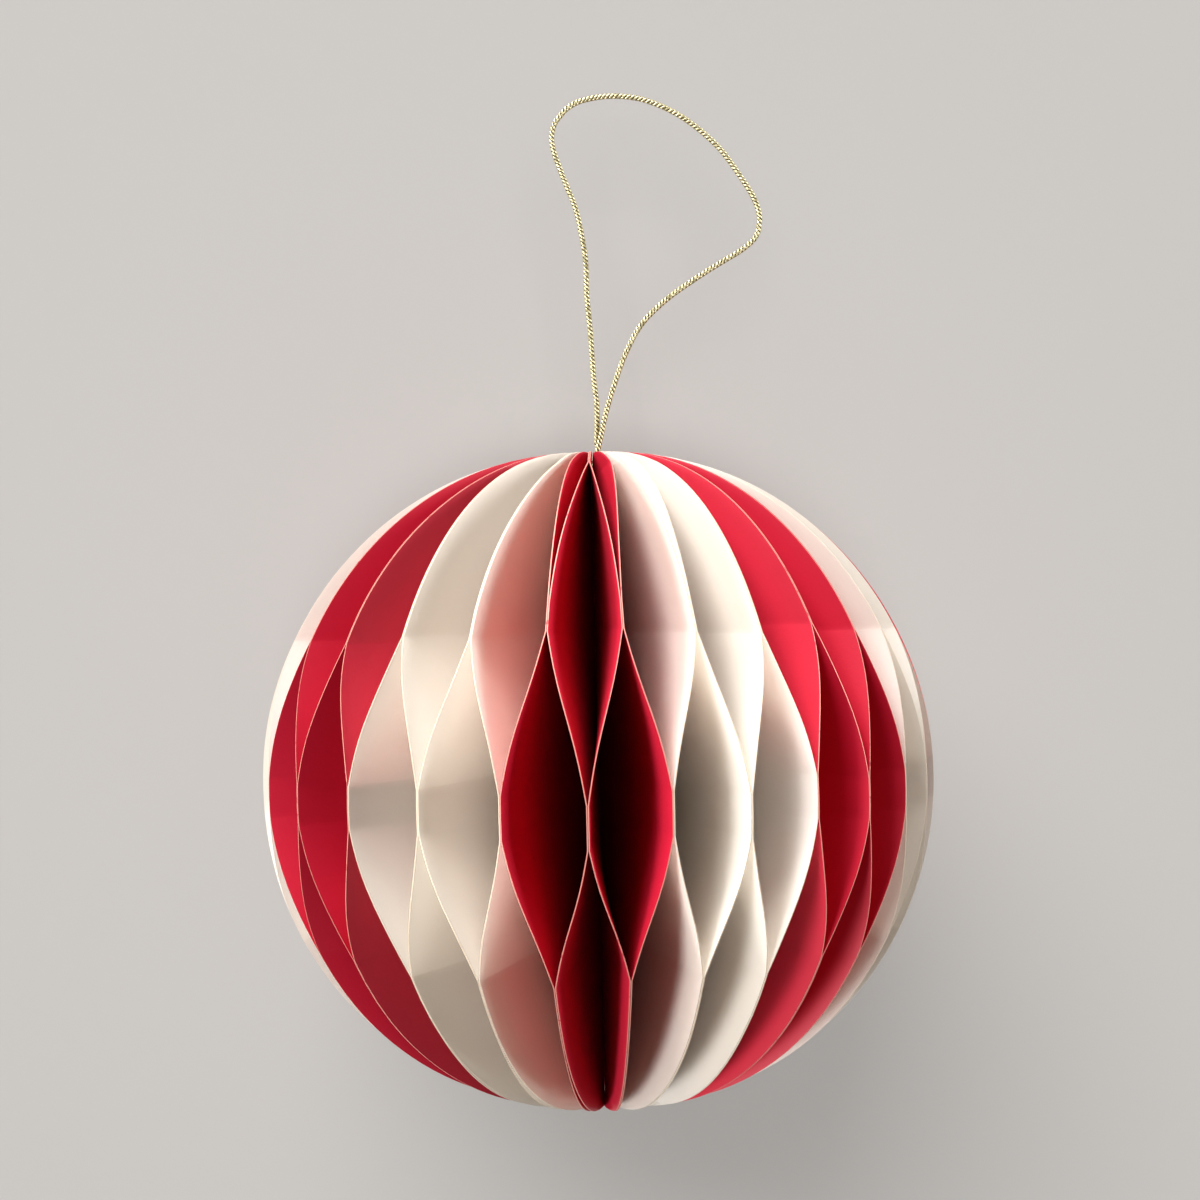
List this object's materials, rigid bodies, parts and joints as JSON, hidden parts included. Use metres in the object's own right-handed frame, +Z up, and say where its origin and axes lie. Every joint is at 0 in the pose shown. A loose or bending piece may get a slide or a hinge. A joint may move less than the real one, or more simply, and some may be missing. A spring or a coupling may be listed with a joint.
{
  "type": "paper bauble",
  "caption": "Round honeycomb bauble of half-disc card leaves in alternating red and cream bands with gilded edges, glued open round a spine and hung by a gold cord loop.",
  "frame": {"origin": "the hanging point: where a hook or twig carries the cord loop, inside its crown, on the ball's vertical axis and straight above the top pole", "axes": "+Z up along the spine from the ball to the hanging point, -Y towards the front, +X to the right seen from the front"},
  "size_m": [0.0997, 0.0999, 0.1522],
  "materials": {
    "red_card": "matt dyed card with a metallic gold cut edge",
    "cream_card": "matt uncoated card with a metallic gold cut edge",
    "gold_cord": "twisted metallic thread"
  },
  "bodies": {
    "root": {"leaf_01": "red_card", "leaf_02": "red_card", "leaf_03": "cream_card", "leaf_04": "cream_card", "leaf_05": "cream_card", "leaf_06": "cream_card", "leaf_07": "red_card", "leaf_08": "red_card", "leaf_09": "red_card", "leaf_10": "red_card", "leaf_11": "cream_card", "leaf_12": "cream_card", "leaf_13": "cream_card", "leaf_14": "cream_card", "leaf_15": "red_card", "leaf_16": "red_card", "leaf_17": "red_card", "leaf_18": "red_card", "leaf_19": "cream_card", "leaf_20": "cream_card", "leaf_21": "cream_card", "leaf_22": "cream_card", "leaf_23": "red_card", "leaf_24": "red_card", "leaf_25": "red_card", "leaf_26": "red_card", "leaf_27": "cream_card", "leaf_28": "cream_card", "leaf_29": "cream_card", "leaf_30": "cream_card", "leaf_31": "red_card", "leaf_32": "red_card", "leaf_33": "red_card", "leaf_34": "red_card", "leaf_35": "cream_card", "leaf_36": "cream_card", "leaf_37": "cream_card", "leaf_38": "cream_card", "leaf_39": "red_card", "leaf_40": "red_card", "leaf_41": "red_card", "leaf_42": "red_card", "leaf_43": "cream_card", "leaf_44": "cream_card", "leaf_45": "cream_card", "leaf_46": "cream_card", "leaf_47": "red_card", "leaf_48": "red_card", "leaf_49": "red_card", "leaf_50": "red_card", "leaf_51": "cream_card", "leaf_52": "cream_card", "leaf_53": "cream_card", "leaf_54": "cream_card", "leaf_55": "red_card", "leaf_56": "red_card", "hanging_cord": "gold_cord"}
  },
  "joints": []
}
